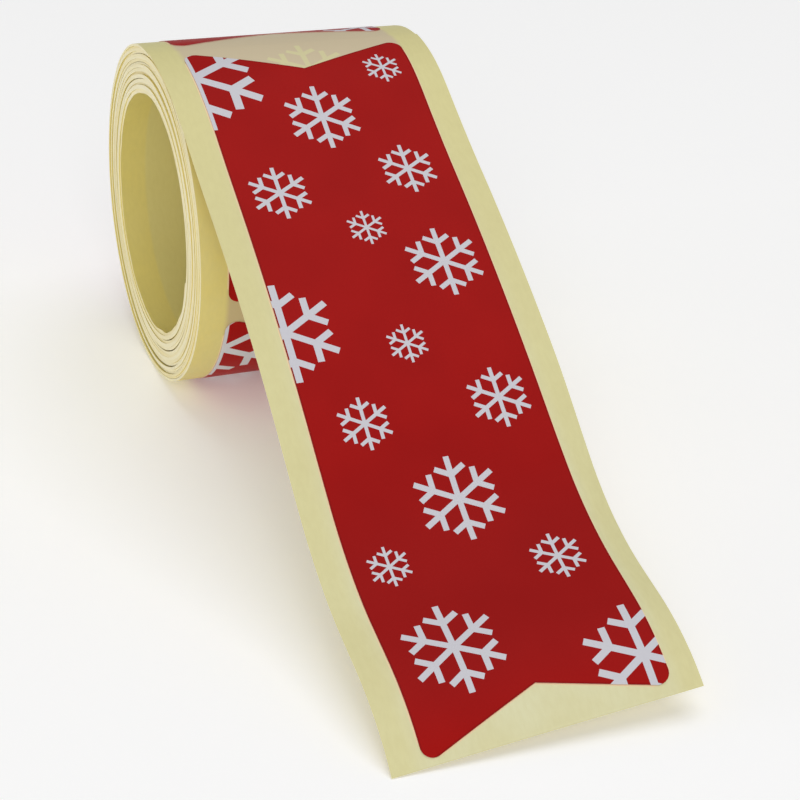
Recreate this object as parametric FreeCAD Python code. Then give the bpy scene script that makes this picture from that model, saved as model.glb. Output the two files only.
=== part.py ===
import FreeCAD, Part
import math
import os

# A coreless roll of gift ribbon labels: one long strip of glassine release liner,
# wound with its printed side outwards, that carries a row of swallow-tailed labels.
# The outermost label lies on the liner's free tail, which comes down in front of the roll.
#
# Frame: origin on the roll's axis, half way along it. +X runs along the axis,
# the tail reaches forward along -Y, +Z is up. All sizes are in millimetres.

# ---- the strip ------------------------------------------------------------
LINER_WIDTH = 55.0
LINER_THICKNESS = 0.08
END_TRIM = 1.2            # bare liner past the tips of the first label
START_TRIM = 16.0         # bare liner at the hidden inner end of the strip

# ---- the labels -----------------------------------------------------------
LABEL_COUNT = 20
LABEL_WIDTH = 44.0
LABEL_LENGTH = 150.0      # tip to tip
LABEL_THICKNESS = 0.10
LABEL_GAP = 5.0           # from one label's tips to the next label's tips
NOTCH_DEPTH = 7.3         # the swallow-tail notch, from the tips to its apex
TIP_RADIUS = 2.2
GLUE_LINE = 0.02          # between the liner and a wound label
PEEL_LINE = 0.06          # between the liner and the label that peels off it

# ---- the winding ----------------------------------------------------------
HOLLOW_RADIUS = 24.7
ROLL_RADIUS = 34.2        # inner face of the liner where the outermost turn ends
ROUND_TURN = 285.0        # the innermost stretch, in degrees, that is a true circle
LOOSENESS = 0.9           # how much wider the inner turns are spaced than the outer ones
ARC_ANGLE = 90.0          # about the angle of each arc that the winding is made of

# ---- the tail -------------------------------------------------------------
TAIL_START = 3.4          # degrees past the top of the roll where the outer turn ends
RUNNING_GAP = 0.08        # between the turning roll and the start of the tail
# The free tail as a chain of tangent arcs, each given as its share of the free
# length and the angle it turns, in degrees: down is positive, up is negative.
TAIL_BENDS = (
    (0.04, 4.0),
    (0.145, -3.8),
    (0.37, 6.9),
    (0.09, -1.6),
    (0.165, -19.3),
    (0.05, 0.4),
    (0.14, 23.4),
)

CUT_HEIGHT = 2.0          # how far a cutter reaches to each side of the strip
CUT_MARGIN = 1.0          # how far a cutter, and the stretch it cuts, reach past the notch


def normal(angle):
    """Outward direction, in (y, z), of a strip that slopes down by this angle."""
    return (-math.sin(angle), math.cos(angle))


class Strip:
    """The strip's side view: tangent arcs, each with a signed radius and a slope range."""

    def __init__(self, centre, radius, angle):
        self.arcs = []
        self.angle = angle
        across = normal(angle)
        self.point = (centre[0] + radius * across[0], centre[1] + radius * across[1])
        self.length = 0.0

    def bend(self, radius, turn):
        """Add an arc: a positive radius and turn bend down, negative ones bend up."""
        across = normal(self.angle)
        centre = (self.point[0] - radius * across[0], self.point[1] - radius * across[1])
        self.arcs.append((centre, radius, self.angle, self.angle + turn, self.length))
        self.angle += turn
        self.length += radius * turn
        across = normal(self.angle)
        self.point = (centre[0] + radius * across[0], centre[1] + radius * across[1])

    def stretch(self, start, end):
        """The arcs, or parts of arcs, between two distances along the strip."""
        found = []
        for centre, radius, first, last, before in self.arcs:
            low = max(start - before, 0.0)
            high = min(end - before, radius * (last - first))
            if high - low > 1e-6:
                found.append((centre, radius, first + low / radius, first + high / radius))
        return found

    def place(self, distance):
        """Point and slope at a distance along the strip."""
        for centre, radius, first, last, before in self.arcs:
            if distance <= before + radius * (last - first) + 1e-9:
                angle = first + (distance - before) / radius
                return spot(centre, radius, angle), angle
        raise ValueError("past the end of the strip")


def spot(centre, radius, angle):
    across = normal(angle)
    return (centre[0] + radius * across[0], centre[1] + radius * across[1])


def vector(x, point):
    return FreeCAD.Vector(x, point[0], point[1])


def arc_edge(x, centre, radius, first, last):
    middle = 0.5 * (first + last)
    points = [vector(x, spot(centre, radius, angle)) for angle in (first, middle, last)]
    return Part.Arc(*points).toShape()


def ribbon(strip, start, end, low, high, width):
    """A closed solid along the strip, between two heights above its inner face."""
    x = -0.5 * width
    arcs = strip.stretch(start, end)
    upper = [arc_edge(x, c, r + high, first, last) for c, r, first, last in arcs]
    lower = [arc_edge(x, c, r + low, last, first) for c, r, first, last in reversed(arcs)]
    ends = [Part.makeLine(upper[-1].Vertexes[-1].Point, lower[0].Vertexes[0].Point),
            Part.makeLine(lower[-1].Vertexes[-1].Point, upper[0].Vertexes[0].Point)]
    outline = Part.Wire(upper + ends[:1] + lower + ends[1:])
    return Part.Face(outline).extrude(FreeCAD.Vector(width, 0, 0))


def tip_sizes():
    """Where a tip's rounding starts on the side and on the notch, and its furthest point.

    The first is a depth from the tips, the others are (distance off the middle, depth).
    """
    half = 0.5 * LABEL_WIDTH
    slant = math.hypot(half, NOTCH_DEPTH)
    half_angle = 0.5 * math.atan2(half, NOTCH_DEPTH)
    run = TIP_RADIUS / math.tan(half_angle)
    reach = TIP_RADIUS / math.sin(half_angle) - TIP_RADIUS
    along = (half - run * half / slant, run * NOTCH_DEPTH / slant)
    crest = (half - reach * math.sin(half_angle), reach * math.cos(half_angle))
    return run, along, crest


def notch_cutter(strip, tips, inwards):
    """The swallow-tail end: it removes what lies past the notch and the rounded tips.

    inwards is 1 where the label lies further along the strip than its tips, -1 where
    it lies before them.
    """
    half = 0.5 * LABEL_WIDTH
    run, along, crest = tip_sizes()
    middle = tips + inwards * 0.5 * NOTCH_DEPTH
    point, angle = strip.place(middle)
    base = vector(0, point)
    forward = FreeCAD.Vector(0, -math.cos(angle), -math.sin(angle)) * inwards
    up = vector(0, normal(angle))

    def at(x, depth):
        return (base + FreeCAD.Vector(x, 0, 0) + forward * (depth - 0.5 * NOTCH_DEPTH)
                - up * CUT_HEIGHT)

    wide = half + CUT_MARGIN
    path = [at(-wide, -CUT_MARGIN), at(wide, -CUT_MARGIN), at(wide, run), at(half, run)]
    edges = [Part.makeLine(a, b) for a, b in zip(path, path[1:])]
    edges.append(Part.Arc(at(half, run), at(*crest), at(*along)).toShape())
    edges.append(Part.makeLine(at(*along), at(0, NOTCH_DEPTH)))
    edges.append(Part.makeLine(at(0, NOTCH_DEPTH), at(-along[0], along[1])))
    edges.append(Part.Arc(at(-along[0], along[1]), at(-crest[0], crest[1]), at(-half, run)).toShape())
    edges.append(Part.makeLine(at(-half, run), at(-wide, run)))
    edges.append(Part.makeLine(at(-wide, run), at(-wide, -CUT_MARGIN)))
    return Part.Face(Part.Wire(edges)).extrude(up * (2 * CUT_HEIGHT))


def label(strip, start, glue):
    """One label, stuck on the liner's outer face with its tips at start and start + length.

    Each end is cut while it is a short stretch, so a cutter never meets a turn of the roll
    that lies under or over it.
    """
    low = LINER_THICKNESS + glue
    high = low + LABEL_THICKNESS
    end = start + LABEL_LENGTH
    zone = max(NOTCH_DEPTH, tip_sizes()[0]) + CUT_MARGIN
    blank = ribbon(strip, start + zone, end - zone, low, high, LABEL_WIDTH)
    for tips, inwards in ((start, 1), (end, -1)):
        first, last = sorted((tips, tips + inwards * zone))
        stretch = ribbon(strip, first, last, low, high, LABEL_WIDTH)
        blank = blank.fuse(stretch.cut(notch_cutter(strip, tips, inwards)))
    return blank.removeSplitter().Solids[0]


def winding_radii(steps):
    """Radii of the arcs between the innermost circle and the outer end, inner ones first."""
    weights = [1.0 + LOOSENESS * (1.0 - (i + 0.5) / steps) for i in range(steps)]
    unit = (ROLL_RADIUS - HOLLOW_RADIUS) / sum(weights)
    radii = []
    radius = HOLLOW_RADIUS
    for weight in weights:
        radius += unit * weight
        radii.append(radius)
    return radii


def wind_roll(length):
    """The wound strip: a round inner stretch, then equal turns of growing radius."""
    round_turn = math.radians(ROUND_TURN)
    spiral = length - HOLLOW_RADIUS * round_turn
    steps = round(2 * spiral / (math.radians(ARC_ANGLE) * (HOLLOW_RADIUS + ROLL_RADIUS)))
    radii = winding_radii(steps)
    turn = spiral / sum(radii)
    strip = Strip((0.0, 0.0), HOLLOW_RADIUS, math.radians(TAIL_START) - round_turn - steps * turn)
    for _ in range(4):
        strip.bend(HOLLOW_RADIUS, 0.25 * round_turn)
    for radius in radii:
        strip.bend(radius, turn)
    return strip


def lay_tail(start_radius, take_off, length):
    """The tail: round the top of the roll to the take-off angle, then its free bends."""
    begin = math.radians(TAIL_START)
    strip = Strip((0.0, 0.0), start_radius, begin)
    strip.bend(start_radius, take_off - begin)
    free = length - strip.length
    for share, turn in TAIL_BENDS:
        angle = math.radians(turn)
        strip.bend(share * free / angle, angle)
    return strip


def lowest(strip, height):
    """Lowest point of the strip's face at this height, sampled finely."""
    low = 1e9
    for centre, radius, first, last, _ in strip.arcs:
        for i in range(25):
            angle = first + (last - first) * i / 24
            low = min(low, spot(centre, radius + height, angle)[1])
    return low


def furthest(strip, height):
    """Largest distance from the roll's axis of the strip's face at this height."""
    far = 0.0
    for centre, radius, first, last, _ in strip.arcs:
        for i in range(25):
            angle = first + (last - first) * i / 24
            far = max(far, math.hypot(*spot(centre, radius + height, angle)))
    return far


# ---- the wound part of the strip --------------------------------------------
wound_labels = LABEL_COUNT - 1
label_pitch = LABEL_LENGTH + LABEL_GAP
wound_length = START_TRIM + wound_labels * label_pitch - 0.5 * LABEL_GAP
roll = wind_roll(wound_length)
label_top = LINER_THICKNESS + GLUE_LINE + LABEL_THICKNESS
floor = lowest(roll, label_top)

# ---- the tail, bent down to the floor that the roll stands on ----------------
tail_length = 0.5 * LABEL_GAP + LABEL_LENGTH + END_TRIM
tail_radius = furthest(roll, label_top) + RUNNING_GAP
shallow = math.radians(TAIL_START + 1.0)
steep = math.radians(80.0)
for _ in range(50):
    take_off = 0.5 * (shallow + steep)
    tail = lay_tail(tail_radius, take_off, tail_length)
    if lowest(tail, 0.0) > floor:
        shallow = take_off
    else:
        steep = take_off

parts = {
    "liner_roll": ribbon(roll, 0.0, roll.length, 0.0, LINER_THICKNESS, LINER_WIDTH),
    "liner_tail": ribbon(tail, 0.0, tail.length, 0.0, LINER_THICKNESS, LINER_WIDTH),
    "label_01": label(tail, 0.5 * LABEL_GAP, PEEL_LINE),
}
for i in range(wound_labels):
    tips = START_TRIM + (wound_labels - 1 - i) * label_pitch
    parts["label_%02d" % (i + 2)] = label(roll, tips, GLUE_LINE)

os.makedirs("parts", exist_ok=True)
for name, shape in parts.items():
    shape.exportStep("parts/%s.step" % name)

hinge, slope = tail.place(0.5 * LABEL_GAP)
print("turns %.2f" % ((roll.angle - roll.arcs[0][2]) / (2 * math.pi)))
print("floor z %.3f, take-off %.2f degrees" % (floor, math.degrees(take_off)))
print("label peel line at y %.3f z %.3f, slope %.2f" % (hinge[0], hinge[1], math.degrees(slope)))
print("tail end at y %.3f z %.3f" % tail.point)
for name, shape in parts.items():
    print("%s: valid %s, solids %d, volume %.1f" % (name, shape.isValid(), len(shape.Solids), shape.Volume))
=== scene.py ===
import bmesh
import bpy
import math
from mathutils import Matrix, Vector
from mathutils.geometry import delaunay_2d_cdt


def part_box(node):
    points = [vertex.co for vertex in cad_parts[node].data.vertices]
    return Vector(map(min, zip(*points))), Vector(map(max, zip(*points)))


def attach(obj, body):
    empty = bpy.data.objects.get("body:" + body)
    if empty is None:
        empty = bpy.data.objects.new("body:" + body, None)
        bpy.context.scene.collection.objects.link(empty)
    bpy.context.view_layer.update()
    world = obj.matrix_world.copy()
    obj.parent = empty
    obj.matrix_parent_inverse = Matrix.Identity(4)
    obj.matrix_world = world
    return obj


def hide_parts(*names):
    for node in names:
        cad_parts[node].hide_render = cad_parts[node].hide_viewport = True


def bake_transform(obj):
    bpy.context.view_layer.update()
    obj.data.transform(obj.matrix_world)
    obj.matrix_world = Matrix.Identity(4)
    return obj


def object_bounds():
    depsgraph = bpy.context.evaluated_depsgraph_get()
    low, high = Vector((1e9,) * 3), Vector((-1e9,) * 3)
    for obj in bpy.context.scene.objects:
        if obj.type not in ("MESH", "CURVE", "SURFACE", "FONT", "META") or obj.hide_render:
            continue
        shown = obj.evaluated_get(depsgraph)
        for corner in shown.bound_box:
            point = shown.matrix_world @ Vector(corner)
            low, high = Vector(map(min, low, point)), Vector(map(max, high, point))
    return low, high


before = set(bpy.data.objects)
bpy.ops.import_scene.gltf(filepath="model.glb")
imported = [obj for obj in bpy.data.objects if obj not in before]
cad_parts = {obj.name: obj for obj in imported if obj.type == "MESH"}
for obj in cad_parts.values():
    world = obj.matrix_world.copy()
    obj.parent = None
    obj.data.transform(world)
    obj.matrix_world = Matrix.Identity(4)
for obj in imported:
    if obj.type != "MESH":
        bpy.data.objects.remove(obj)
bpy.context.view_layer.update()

# ==== The liner ====
# Yellow glassine release paper, 55 mm wide, calendered and silicone coated on its outer face.
# One strip is wound on a mandrel that has been drawn out, and its last 153 mm are lifted off the
# top of the roll and let down to the table. Its two pieces meet at the top of the roll.

# The strip's course. Each sheet is made flat, in mm: x across, y along, z up from the liner's
# inner face; y is 0 at the top of the roll, positive down the tail and negative into the roll.
MM = 0.001
STEP = 1.55                       # every sheet has its cross lines at whole steps along y
COLUMNS = 10                      # and is divided this many times across the liner's width
LINER_WIDTH = 55.0
LINER_THICKNESS = 0.08
WOUND_STEPS = 1909
TAIL_STEPS = 99
ROLL_END = math.radians(2.8)      # slope where the wound part ends and the tail starts
ROLL_RADIUS = 34.2
HOLLOW_RADIUS = 24.7
FLAT_BACK = 0.35                  # how far the roll lies in just behind its top
LOOSENESS = 1.9                   # pitch of the innermost turn over that of the outermost
TAKE_OFF = math.radians(26.03)    # slope where the tail leaves the roll
TAIL_BENDS = (                    # share of the free length, turn in degrees (down is positive)
    (0.04, 4.0), (0.145, -3.8), (0.37, 6.9), (0.09, -1.6), (0.165, -19.3), (0.05, 0.4), (0.14, 23.4),
)
TWIST_START = 14.8                # the tail turns a little as it falls: its right edge ends high
TWIST = 0.000005
SIDE_SWAY = -0.000085
PULL = 1.0035                     # the tail is this much over its flat length, from being pulled off


def square_to(slope):
    return Vector((0.0, -math.sin(slope), math.cos(slope)))


tail_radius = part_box("liner_tail")[1].z / MM / math.cos(ROLL_END) - LINER_THICKNESS
round_the_top = tail_radius * (TAKE_OFF - ROLL_END)
free_length = TAIL_STEPS * STEP * PULL - round_the_top
tail_arcs = []
slope, place, run = ROLL_END, square_to(ROLL_END) * tail_radius, 0.0
stretches = [(round_the_top, TAKE_OFF - ROLL_END)]
stretches += [(share * free_length, math.radians(turn)) for share, turn in TAIL_BENDS]
for length, turn in stretches:
    radius = length / turn
    centre = place - square_to(slope) * radius
    tail_arcs.append((centre, radius, slope, run))
    slope += turn
    run += length
    place = centre + square_to(slope) * radius


def on_tail(y):
    """Place and slope of the inner face at a distance down the tail."""
    y *= PULL
    centre, radius, first, start = [arc for arc in tail_arcs if arc[3] <= max(y, 0.0)][-1]
    slope = first + (y - start) / radius
    spread = max(y - TWIST_START, 0.0) ** 2
    return centre + square_to(slope) * radius, slope, TWIST * spread, SIDE_SWAY * spread


wound_length = WOUND_STEPS * STEP
label_top = 0.2                   # the liner, a label and the glue between them
shrink = (ROLL_RADIUS - HOLLOW_RADIUS) / ((LOOSENESS + 1) / 2)
wound_angle = wound_length / (ROLL_RADIUS - shrink / 2 - (LOOSENESS - 1) * shrink / 6)
pitch = shrink / wound_angle
tightening = (LOOSENESS - 1) * pitch / (2 * wound_angle)
half_turn_in = pitch * math.pi + tightening * math.pi ** 2
sag = (-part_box("label_02")[0].z / MM - label_top - ROLL_RADIUS + half_turn_in) / 2


def hump(y, middle, reach):
    """1 at the middle of a stretch, easing to 0 at its ends."""
    return math.cos(min(abs(y - middle) / reach, 1.0) * math.pi / 2) ** 2


def unevenness(turned):
    """How far a turn stands off the even spiral, and how far its edge wanders sideways."""
    depth = turned / wound_angle
    turn = turned / (2 * math.pi)
    settled = min(turned / 4.0, 1.0)
    bunch = 0.09 * math.sin(2.42 * turn + 1.0) + 0.06 * math.sin(1.46 * turn)
    ripple = math.sin(2.0 * turned + 0.9) + 0.7 * math.sin(3.07 * turned) + 0.4 * math.sin(5.11 * turned)
    flat_back = FLAT_BACK * hump(turned % (2 * math.pi), 0.45, 0.45)
    off = bunch * (0.7 + depth) + ripple * (0.02 + 0.08 * depth)
    wander = 0.12 * math.sin(2.03 * turn + 0.4) + 0.09 * math.sin(3.7 * turn + 2.0)
    wander += 0.06 * math.sin(0.7 * turned)
    return off * settled - flat_back, wander * min(turned / 14.0, 1.0)


def on_roll(y):
    """Place and slope of the inner face at a distance back into the roll."""
    turned = -y / ROLL_RADIUS
    for _ in range(8):
        radius = ROLL_RADIUS - pitch * turned - tightening * turned ** 2
        covered = turned * (ROLL_RADIUS - pitch * turned / 2 - tightening * turned ** 2 / 3)
        turned -= (covered + y) / radius
    slope = ROLL_END - turned
    off, wander = unevenness(turned)
    return square_to(slope) * (radius + off + sag) - Vector((0, 0, sag)), slope, 0.0, wander


def top_curl(x, y):
    """The strip spreads and lifts a little on its left side where it leaves the roll."""
    near = hump(y, 0.0, 26.0) if x < 0 else 0.0
    return -0.75 * min(max(-x - 12.0, 0.0) / 10.0, 1.0) * near, -0.004 * x * near


def lay(bm, course, start, curl=top_curl):
    """Bend a flat sheet to its course; its flat place stays on each point, in mm."""
    along = bm.verts.layers.float.new("along")
    across = bm.verts.layers.float.new("across")
    known = {}
    for v in bm.verts:
        x, y, z = v.co
        key = round(y + start, 4)
        if key not in known:
            known[key] = course(key)
        place, slope, twist, sway = known[key]
        sideways, lift = curl(x, key)
        v[along] = y
        v[across] = x
        v.co = (place + square_to(slope) * (z + lift) + Vector((x + sway + sideways, 0, x * twist))) * MM


def thicken(bm, thickness, back, edge):
    """Give a flat sheet its thickness, and its back and cut edges their own finishes."""
    grown = bmesh.ops.extrude_face_region(bm, geom=bm.faces[:])["geom"]
    lifted = [part for part in grown if isinstance(part, bmesh.types.BMVert)]
    bmesh.ops.translate(bm, vec=(0, 0, thickness), verts=lifted)
    bmesh.ops.recalc_face_normals(bm, faces=bm.faces[:])
    for face in bm.faces:
        if face.normal.z < -0.5:
            face.material_index = back
        elif face.normal.z < 0.5:
            face.material_index = edge


def finish_piece(bm, name, body, node, finishes):
    """Make the object of a bent sheet; its flat faces shade smoothly up to the cut edges."""
    for face in bm.faces:
        face.smooth = True
    bm.normal_update()
    for rim in bm.edges:
        rim.smooth = rim.calc_face_angle(0.0) < 0.6
    mesh = bpy.data.meshes.new(name)
    bm.to_mesh(mesh)
    bm.free()
    for finish in finishes:
        mesh.materials.append(finish.material)
    piece = bpy.data.objects.new(name, mesh)
    bpy.context.collection.objects.link(piece)
    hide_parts(node)
    if body:
        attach(piece, body)
    return piece


# The liner's finishes. In the gap between two labels, the turn below shows through as beige.
LABEL_PITCH = 155.0
LABEL_START = 2.5
LABEL_LENGTH = 150.0
HALF_LABEL = 22.0
NOTCHES = (7.3, 142.7)            # how far down the label its two notches reach in
LEFT_TIPS = (-0.7, 150.7)         # the die is a little out of true: the left tips are longer
RIGHT_TIPS = (0.0, 149.5)


def colour(red, green, blue):
    """Linear colour from the 0 to 255 values of a paint chart."""
    parts = [value / 255 for value in (red, green, blue)]
    return [p / 12.92 if p < 0.04045 else ((p + 0.055) / 1.055) ** 2.4 for p in parts] + [1.0]


class Value:
    """A number that varies over a surface; an expression on it adds its Math nodes."""

    def __init__(self, finish, socket):
        self.finish = finish
        self.socket = socket

    def __add__(self, other):
        return self.finish.math("ADD", self, other)

    def __sub__(self, other):
        return self.finish.math("SUBTRACT", self, other)

    def __rsub__(self, other):
        return self.finish.math("SUBTRACT", other, self)

    def __mul__(self, other):
        return self.finish.math("MULTIPLY", self, other)

    def __abs__(self):
        return self.finish.math("ABSOLUTE", self)

    __radd__ = __add__
    __rmul__ = __mul__


class Finish:
    """One material: the constants of its shader, and one way to add a node to it."""

    def __init__(self, name, **constants):
        self.material = bpy.data.materials.new(name)
        self.material.use_nodes = True
        self.shader = self.material.node_tree.nodes["Principled BSDF"]
        for socket, value in constants.items():
            self.shader.inputs[socket.replace("_", " ")].default_value = value

    def node(self, kind, settings, sockets, output=0):
        made = self.material.node_tree.nodes.new("ShaderNode" + kind)
        for setting, value in settings.items():
            setattr(made, setting, value)
        for socket, value in sockets.items():
            self.feed(made.inputs[socket], value)
        return Value(self, made.outputs[output])

    def feed(self, socket, value):
        if isinstance(value, Value):
            self.material.node_tree.links.new(value.socket, socket)
        else:
            socket.default_value = value

    def to_shader(self, **sockets):
        for socket, value in sockets.items():
            self.feed(self.shader.inputs[socket.replace("_", " ")], value)

    def math(self, operation, *values):
        return self.node("Math", {"operation": operation}, dict(enumerate(values)))

    def flat_place(self):
        """Distances across and along the flat sheet, in mm."""
        return [self.node("Attribute", {"attribute_name": name}, {}, "Fac") for name in ("across", "along")]

    def past(self, value, edge, softness):
        """0 below an edge, 1 above it, soft over a width."""
        return self.node("MapRange", {"interpolation_type": "SMOOTHSTEP"},
                         {"Value": value, "From Min": edge - softness / 2, "From Max": edge + softness / 2})

    def mix(self, share, first, second):
        return self.node("Mix", {"data_type": "RGBA"}, {0: share, 6: first, 7: second}, 2)

    def grain(self, scale, detail, stretch=(1, 1, 1)):
        """Even noise fixed to the sheet, about 0.5 in the middle; scale is per mm."""
        x, y = self.flat_place()
        place = self.node("CombineXYZ", {}, {0: x * stretch[0], 1: y * stretch[1]})
        sockets = {"Vector": place, "Scale": scale, "Detail": detail, "Roughness": 0.55}
        return self.node("TexNoise", {}, sockets, "Fac")

    def relief(self, height, strength, distance):
        bump = self.node("Bump", {}, {"Height": height, "Strength": strength, "Distance": distance * MM})
        self.to_shader(Normal=bump)


HALF_BAR = 0.064                  # a snowflake's proportions, as shares of its size
FORK = 0.565
BRANCH = 0.38


def snowflake(finish, x, y, size):
    """Mask of one snowflake, folded to a single arm and its side branch."""
    turn = finish.math("ARCTAN2", x, y)
    sector = math.radians(60)
    folded = abs(finish.math("WRAP", turn, sector / 2, -sector / 2))
    reach = finish.math("SQRT", x * x + y * y)
    u = reach * finish.math("COSINE", folded)
    v = reach * finish.math("SINE", folded)
    half_bar = HALF_BAR * size
    arm = finish.past(half_bar - v, 0.0, 0.3) * finish.past(size - u, 0.0, 0.3)
    from_fork = u - FORK * size
    lean = math.cos(sector)
    rise = math.sin(sector)
    length = from_fork * lean + v * rise
    aside = abs(v * lean - from_fork * rise)
    branch = finish.past(half_bar - aside, 0.0, 0.3) * finish.past(length, 0.0, 0.3)
    branch = branch * finish.past(BRANCH * size - length, 0.0, 0.3)
    return finish.math("MAXIMUM", arm, branch)


def inside_label(finish, x, y):
    """Distance in from a label's outline at a distance below its upper tips."""
    off_middle = abs(x)
    inside = HALF_LABEL - off_middle
    for end, away in enumerate((-1, 1)):
        left, right = [abs(tips[end] - NOTCHES[end]) / HALF_LABEL for tips in (LEFT_TIPS, RIGHT_TIPS)]
        line = off_middle * ((left + right) / 2) + x * ((right - left) / 2)
        inside = finish.math("MINIMUM", inside, line + (NOTCHES[end] - y) * away)
    return inside


liner_face = Finish("glassine face", Roughness=0.42, Specular_IOR_Level=0.25)
x, y = liner_face.flat_place()
beside_label = abs(x) - HALF_LABEL
in_pitch = liner_face.math("FLOORED_MODULO", y - LABEL_START + 2.0, LABEL_PITCH) - 2.0
label_rim = 0 - inside_label(liner_face, x, in_pitch)
near_tips = liner_face.math("MINIMUM", in_pitch, LABEL_LENGTH - in_pitch)
off_tips = liner_face.past(liner_face.math("MAXIMUM", 0 - beside_label, near_tips), 3.0, 1.0)
cloud = liner_face.grain(0.06, 4.0)
fibre = liner_face.grain(1.3, 6.0, (1.0, 0.35))
pale = liner_face.past(y, 60.0, 150.0) * (1 - liner_face.past(beside_label, 1.0, 4.0) * 0.6)
paper = liner_face.mix(pale, colour(229, 221, 157), colour(233, 230, 188))
# Painted warm bounce light and shade: from about 15 mm into the roll, and fully from about 105 mm, the
# liner's face is painted a deeper, darker gold. This share is 0 there and 1 towards the top of the roll.
clear_of_painted_bounce_shade = liner_face.past(y, -60.0, 90.0)
paper = liner_face.mix(clear_of_painted_bounce_shade, colour(233, 214, 124), paper)
paper = liner_face.mix(liner_face.past(cloud, 0.5, 0.5) * 0.5, paper, colour(224, 215, 157))
paper = liner_face.mix(liner_face.past(fibre, 0.5, 0.45) * 0.16, paper, colour(206, 196, 136))
notch = liner_face.math("MAXIMUM", NOTCHES[0] + 2.2 - abs(x) * (NOTCHES[0] / HALF_LABEL), 3.2)
gap = (1 - liner_face.past(near_tips - notch, 0.0, 0.6)) * (1 - liner_face.past(beside_label, 0.0, 1.4))
gap = gap * (1 - liner_face.past(y, 40.0, 2.0))
GHOST_X = 1.1
GHOST_Y = 9.9
GHOST_SIZE = 8.5
ghost = snowflake(liner_face, x - GHOST_X, y - GHOST_Y, GHOST_SIZE)
# Painted shade: deep in the roll, by the same share, the beige of the gaps is painted darker and more
# golden.
beige = liner_face.mix(clear_of_painted_bounce_shade, colour(204, 184, 140), colour(216, 200, 167))
beige = liner_face.mix(ghost * 0.75, beige, colour(226, 221, 168))
paper = liner_face.mix(gap, paper, beige)
die_line = (1 - liner_face.past(abs(label_rim - 0.12), 0.14, 0.1)) * (1 - gap)
paper = liner_face.mix(die_line * off_tips * 0.9, paper, colour(250, 222, 180))
liner_face.to_shader(Base_Color=paper, Roughness=0.38 + fibre * 0.1)
liner_face.relief(cloud * 2 + fibre * 0.1, 0.35, 0.25)

liner_back = Finish("glassine back", Roughness=0.5, Specular_IOR_Level=0.5)
x, y = liner_back.flat_place()
cloud = liner_back.grain(0.05, 4.0)
fibre = liner_back.grain(1.3, 6.0, (1.0, 0.35))
in_pitch = liner_back.math("FLOORED_MODULO", y - LABEL_START, LABEL_PITCH)
labelled = liner_back.math("MINIMUM", in_pitch, LABEL_LENGTH - in_pitch)
covered = liner_back.past(labelled, 1.5, 2.0) * (1 - liner_back.past(abs(x), HALF_LABEL, 0.8))
paper = liner_back.mix(covered, colour(230, 214, 126), colour(221, 210, 140))
paper = liner_back.mix(liner_back.past(cloud, 0.5, 0.5) * 0.5, paper, colour(226, 213, 140))
paper = liner_back.mix(liner_back.past(fibre, 0.5, 0.45) * 0.15, paper, colour(204, 190, 116))
liner_back.to_shader(Base_Color=paper, Roughness=0.36 + fibre * 0.1)
liner_back.relief(cloud * 2 + fibre * 0.1, 0.35, 0.3)

# The cut edge has the pale colour of the paper, painted lighter still as a glow of light coming through the
# glassine at the edges of the turns.
liner_edge = Finish("glassine cut edge", Roughness=0.6, Specular_IOR_Level=0.3)
x, y = liner_edge.flat_place()
layer = liner_edge.grain(0.02, 3.0)
paper = liner_edge.mix(liner_edge.past(layer, 0.5, 0.3), colour(255, 246, 208), colour(250, 236, 182))
liner_edge.to_shader(Base_Color=paper)


def liner_sheet(first_step, last_step, inner_face):
    bm = bmesh.new()
    steps = last_step - first_step
    bmesh.ops.create_grid(bm, x_segments=COLUMNS, y_segments=steps, size=0.5)
    bmesh.ops.scale(bm, vec=(LINER_WIDTH, steps * STEP, 1), verts=bm.verts)
    bmesh.ops.translate(bm, vec=(0, (first_step + last_step) / 2 * STEP, inner_face), verts=bm.verts)
    thicken(bm, LINER_THICKNESS - inner_face, 1, 2)
    return bm


EDGE_REACH = 0.38                 # how far the outermost turn's edge is drawn inwards
EDGE_GROWTH = 0.42                # and how much further the innermost turn's


def swell_margins(bm):
    """Draw the bare edges thick enough to close the space between turns; this is for looks only."""
    for v in bm.verts:
        if abs(v.co.x) > HALF_LABEL + 1.0 and v.co.z < 0.0:
            v.co.z = -EDGE_REACH + EDGE_GROWTH * v.co.y / wound_length


def free_curl(x, y):
    """The tail's margins: the left one spreads at the top, the right one droops further down."""
    reach = max(abs(x) - HALF_LABEL, 0.0) / (LINER_WIDTH / 2 - HALF_LABEL)
    sideways, lift = top_curl(x, y)
    if x < 0:
        gathering = 0.6 * min(-x / HALF_LABEL, 1.0) * hump(min(y, 154.0), 154.0, 34.0)
        return sideways + gathering - 0.4 * reach * hump(max(y - 30.0, 0.0), 0.0, 50.0), lift
    widening = 0.45 * min(x / HALF_LABEL, 1.0) * (1 - reach) * hump(min(y, 150.0), 150.0, 90.0)
    return widening, -1.5 * reach * hump(y, 120.0, 40.0)


def wound_curl(x, y):
    """The margins crinkle where nothing holds them, most of all in the innermost turns."""
    reach = max(abs(x) - HALF_LABEL, 0.0) / (LINER_WIDTH / 2 - HALF_LABEL)
    sideways, lift = top_curl(x, y)
    if x < 0:
        sideways -= 0.4 * reach * hump(y, 0.0, 36.0)
    crinkle = math.sin(y * 0.31 + x) + 0.8 * math.sin(y * 0.57) + 0.6 * math.sin(y * 0.83 + 1.3)
    innermost = hump(y, -wound_length, 170.0)
    crumple = math.sin(y * 0.47) + 0.7 * math.sin(y * 0.73 + 2.0) + 0.5 * math.sin(y * 1.19 + 0.6)
    lift += reach * (0.012 * crinkle + (0.14 if x < 0 else 0.08) * innermost * crumple)
    return sideways, lift


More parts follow.
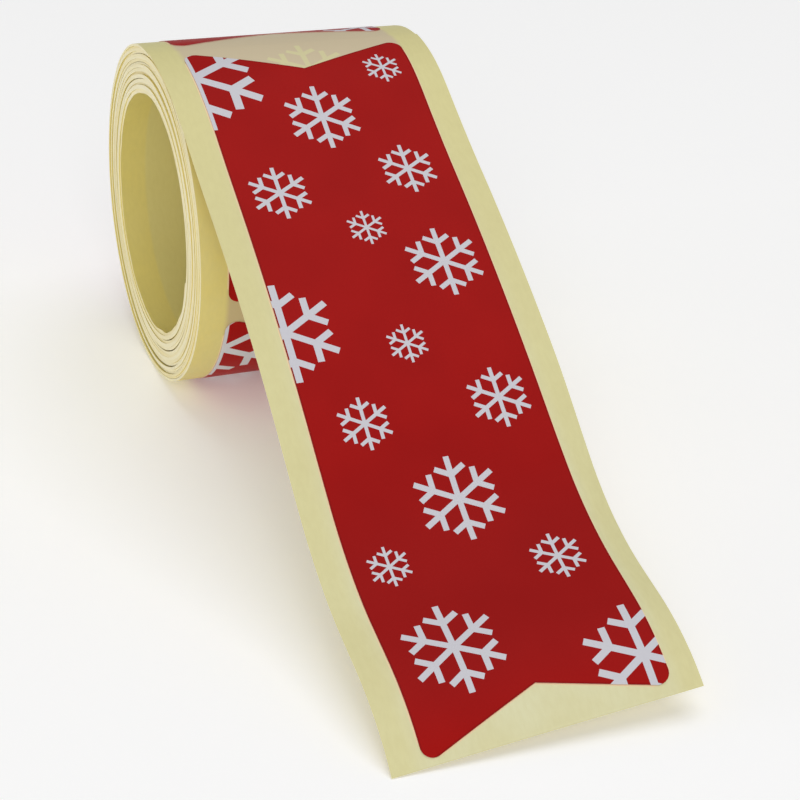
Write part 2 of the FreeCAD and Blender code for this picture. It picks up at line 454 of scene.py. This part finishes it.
liner_finishes = [liner_face, liner_back, liner_edge]
WOUND_BACK = -0.02                # inner face of the wound liner, a touch inside its course
wound_liner = liner_sheet(-WOUND_STEPS, 0, WOUND_BACK)
swell_margins(wound_liner)
lay(wound_liner, on_roll, 0.0, wound_curl)
finish_piece(wound_liner, "wound_liner", "roll", "liner_roll", liner_finishes)
free_liner = liner_sheet(0, TAIL_STEPS, 0.0)
lay(free_liner, on_tail, 0.0, free_curl)
finish_piece(free_liner, "free_liner", "tail", "liner_tail", liner_finishes)

# ==== The printed labels ====
# Self-adhesive satin paper ribbon labels, 44 mm by 150 mm, printed red round plain snowflakes
# and die cut to a swallow tail at both ends. All twenty carry the same print; their cut edges
# show the paper.
LABEL_COUNT = 20
LABEL_THICKNESS = 0.10
GLUE_LINE = 0.02
PEEL_LINE = 0.06
TIP_RADIUS = 2.2
TIP_CUTS = 8
PRINT_SHARE = 0.98                # a printed flake is this much of the size it is given
FLAKES = (                        # across, down from the upper tips, size, in mm
    (-22.1, 7.8, 13.4), (15.7, 8.75, 4.06), (-0.2, 20.0, 7.75), (12.8, 34.3, 5.96),
    (-13.6, 37.0, 6.2), (0.4, 47.1, 3.94), (12.8, 56.7, 7.75), (-21.1, 67.3, 10.3),
    (0.4, 72.9, 4.06), (13.9, 86.4, 6.2), (-11.8, 87.1, 5.25), (0.7, 104.2, 8.47),
    (13.4, 119.5, 5.0), (-15.3, 114.2, 4.06), (-10.7, 132.7, 8.95), (18.9, 143.0, 10.3),
)
RED, WHITE, GUMMED, PAPER_EDGE = range(4)

lean, rise = math.cos(math.radians(60)), math.sin(math.radians(60))
half_arm = [
    (HALF_BAR / math.tan(math.radians(30)), HALF_BAR),
    (FORK - HALF_BAR * math.tan(math.radians(30)), HALF_BAR),
    (FORK + BRANCH * lean - HALF_BAR * rise, BRANCH * rise + HALF_BAR * lean),
    (FORK + BRANCH * lean + HALF_BAR * rise, BRANCH * rise - HALF_BAR * lean),
    (FORK + HALF_BAR / math.tan(math.radians(30)), HALF_BAR),
    (1.0, HALF_BAR),
]
arm = [Vector((v, u)) for u, v in half_arm] + [Vector((-v, u)) for u, v in half_arm[:0:-1]]
points = [Vector(corner) for corner in ((-40, -20), (40, -20), (40, 170), (-40, 170))]
outlines = [[0, 1, 2, 3]]
for across, down, size in FLAKES:
    first = len(points)
    for i in range(6):
        turned = Matrix.Rotation(math.radians(60 * i), 2)
        points += [Vector((across, down)) + turned @ point * size * PRINT_SHARE for point in arm]
    outlines.append(list(range(first, len(points))))
points, _, triangles, _, _, sources = delaunay_2d_cdt(points, [], outlines, 0, 1e-5)
printed = bmesh.new()
corners = [printed.verts.new(point.to_3d()) for point in points]
for triangle, source in zip(triangles, sources):
    printed.faces.new([corners[i] for i in triangle]).material_index = WHITE if max(source) > 0 else RED


def cut(bm, point, direction, faces=None, keep_both=False):
    """Cut a sheet, or some of its faces, along a line; what lies in the direction falls off."""
    faces = bm.faces[:] if faces is None else faces
    geom = set(faces)
    for face in faces:
        geom.update(face.edges)
        geom.update(face.verts)
    bmesh.ops.bisect_plane(bm, geom=list(geom), dist=1e-5, plane_co=point, plane_no=direction,
                           clear_outer=not keep_both)


for side in (-1, 1):
    cut(printed, (side * HALF_LABEL, 0, 0), (side, 0, 0))
cut(printed, (0, 0, 0), (1, 0, 0), keep_both=True)
fold = [edge for edge in printed.edges if max(abs(v.co.x) for v in edge.verts) < 1e-4]
bmesh.ops.split_edges(printed, edges=fold)
for side, ends in ((-1, LEFT_TIPS), (1, RIGHT_TIPS)):
    for tips, notch, away in zip(ends, NOTCHES, (-1, 1)):
        slant = math.atan2(abs(tips - notch), HALF_LABEL)
        half_angle = (math.pi / 2 - slant) / 2
        level = tips - away * TIP_RADIUS / math.tan(half_angle)
        middle = Vector((side * (HALF_LABEL - TIP_RADIUS), level, 0))
        directions = [Vector((side * math.cos(a), away * math.sin(a), 0))
                      for a in [(math.pi / 2 + slant) * i / TIP_CUTS for i in range(1, TIP_CUTS)]]
        notch_line = Vector((-side * math.sin(slant), away * math.cos(slant), 0))
        apex = Vector((0, notch, 0))
        for point, direction in [(apex, notch_line)] + [(middle + d * TIP_RADIUS, d) for d in directions]:
            half = [face for face in printed.faces if face.calc_center_median().x * side > 0]
            cut(printed, point, direction, faces=half)
bmesh.ops.remove_doubles(printed, verts=printed.verts, dist=0.001)
line = math.ceil(LABEL_START / STEP) * STEP - LABEL_START
while line < LEFT_TIPS[1]:
    cut(printed, (0, line, 0), (0, 1, 0), keep_both=True)
    line += STEP
for i in range(1, COLUMNS):
    cut(printed, (LINER_WIDTH * (i / COLUMNS - 0.5), 0, 0), (1, 0, 0), keep_both=True)
bmesh.ops.recalc_face_normals(printed, faces=printed.faces)
for face in printed.faces:
    if face.normal.z < 0:
        face.normal_flip()
thicken(printed, LABEL_THICKNESS, GUMMED, PAPER_EDGE)
flat_label = bpy.data.meshes.new("flat label")
printed.to_mesh(flat_label)
printed.free()


def print_finish(name, **constants):
    """Satin stock: a fine even tooth, and slow swells from lying on the liner."""
    finish = Finish(name, **constants)
    tooth = finish.grain(2.2, 5.0)
    swell = finish.grain(0.05, 2.0)
    finish.relief(tooth * 0.05 + swell * 3, 0.3, 0.3)
    return finish, tooth, swell


red_print, tooth, swell = print_finish("red satin print", Specular_IOR_Level=0.05)
x, y = red_print.flat_place()
inside = inside_label(red_print, x, y)
# Painted shade: the red is painted darker from about 70 to 150 mm below the upper tips, where the front
# label lies flatter on the tail and turns from the light. Every label carries it.
painted_shade_on_flat = red_print.past(y, 95.0, 50.0) * (1 - red_print.past(y, 140.0, 20.0))
ink = red_print.mix(red_print.past(swell, 0.5, 0.5), colour(172, 20, 17), colour(164, 17, 15))
ink = red_print.mix(red_print.past(tooth, 0.5, 0.5) * 0.25, ink, colour(154, 16, 14))
ink = red_print.mix(painted_shade_on_flat * 0.4, ink, colour(146, 13, 12))
ink = red_print.mix((1 - red_print.past(inside, 0.3, 0.35)) * 0.4, ink, colour(112, 12, 16))
red_print.to_shader(Base_Color=ink, Roughness=0.36 + tooth * 0.12)

white_print, tooth, swell = print_finish("white satin print", Specular_IOR_Level=0.2)
ink = white_print.mix(white_print.past(tooth, 0.5, 0.6) * 0.3, colour(214, 213, 220), colour(204, 203, 211))
white_print.to_shader(Base_Color=ink, Roughness=0.36 + tooth * 0.12)

gummed_back = Finish("gummed label back", Roughness=0.3, Specular_IOR_Level=0.5)
blotch = gummed_back.grain(0.3, 4.0)
gum = gummed_back.mix(gummed_back.past(blotch, 0.5, 0.4), colour(226, 222, 214), colour(214, 206, 196))
gummed_back.to_shader(Base_Color=gum, Roughness=0.25 + blotch * 0.2)
gummed_back.relief(blotch, 0.3, 0.05)

label_edge = Finish("label cut edge", Roughness=0.6)
layer = label_edge.grain(0.8, 3.0)
paper = label_edge.mix(label_edge.past(layer, 0.5, 0.5), colour(226, 186, 172), colour(206, 150, 140))
label_edge.to_shader(Base_Color=paper)
label_finishes = [red_print, white_print, gummed_back, label_edge]


def label_on(course, start, glue, curl=top_curl):
    bm = bmesh.new()
    bm.from_mesh(flat_label)
    bmesh.ops.translate(bm, vec=(0, 0, LINER_THICKNESS + glue), verts=bm.verts)
    lay(bm, course, start, curl)
    return bm


SECOND_SLACK = 0.6                # the second label lies this much further back
for number in range(2, LABEL_COUNT + 1):
    slack = SECOND_SLACK if number == 2 else 0.0
    sheet = label_on(on_roll, LABEL_START - slack - (number - 1) * LABEL_PITCH, GLUE_LINE)
    finish_piece(sheet, "wound_label_%02d" % number, "roll", "label_%02d" % number, label_finishes)

# ==== The front label ====
# The label on the tail is the next to be used. Its upper tips lie near the top of the roll, and all of it
# stands a little further off the liner than the wound labels do.
front = label_on(on_tail, LABEL_START, PEEL_LINE, free_curl)
front_label = finish_piece(front, "front_label", None, "label_01", label_finishes)
PEEL_BEND = 40.0                  # length down the tail to peel_to; nothing bends the label
peel_from = on_tail(LABEL_START)[0] * MM
peel_to = on_tail(LABEL_START + PEEL_BEND)[0] * MM
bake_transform(front_label)

# ==== The studio ====
# A plain pale table under a broad, soft light from the front and above, as for a catalogue.
low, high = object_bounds()
table = bmesh.new()
bmesh.ops.create_grid(table, x_segments=4, y_segments=4, size=4.0)
bmesh.ops.translate(table, vec=(0, 0, low.z), verts=table.verts)
table_mesh = bpy.data.meshes.new("table")
table.to_mesh(table_mesh)
table.free()
table_finish = Finish("pale table", Base_Color=colour(252, 252, 252), Roughness=0.8)
table_finish.to_shader(Emission_Color=colour(255, 255, 255), Emission_Strength=0.18)
table_mesh.materials.append(table_finish.material)
table_top = bpy.data.objects.new("table", table_mesh)
bpy.context.collection.objects.link(table_top)


def soft_light(name, place, size, power):
    lamp = bpy.data.lights.new(name, "AREA")
    lamp.shape = "SQUARE"
    lamp.size = size
    lamp.energy = power
    lit = bpy.data.objects.new(name, lamp)
    lit.location = place
    lit.rotation_euler = (-Vector(place)).to_track_quat("-Z", "Y").to_euler()
    bpy.context.collection.objects.link(lit)


soft_light("front light", (-0.7, -1.7, 1.0), 1.2, 13.0)
soft_light("top light", (0.3, 0.1, 1.8), 1.6, 13.0)
soft_light("side light", (-1.8, 0.3, 0.35), 1.0, 3.5)
world = bpy.data.worlds.new("room")
world.use_nodes = True
world.node_tree.nodes["Background"].inputs["Color"].default_value = (1.0, 1.0, 1.0, 1.0)
world.node_tree.nodes["Background"].inputs["Strength"].default_value = 0.31
bpy.context.scene.world = world
bpy.context.scene.view_settings.view_transform = "Standard"

camera = bpy.data.objects.new("camera", bpy.data.cameras.new("camera"))
camera.data.sensor_width = 36.0
camera.data.lens = 88.2
camera.location = Vector((-126.2, -353.2, 164.2)) * MM
sight = Vector((0.3532, 0.7977, -0.4889))
CAMERA_TILT = math.radians(3.97)
upright = sight.to_track_quat("-Z", "Y").to_matrix()
camera.rotation_euler = (upright @ Matrix.Rotation(CAMERA_TILT, 3, "Z")).to_euler()
bpy.context.collection.objects.link(camera)
bpy.context.scene.camera = camera
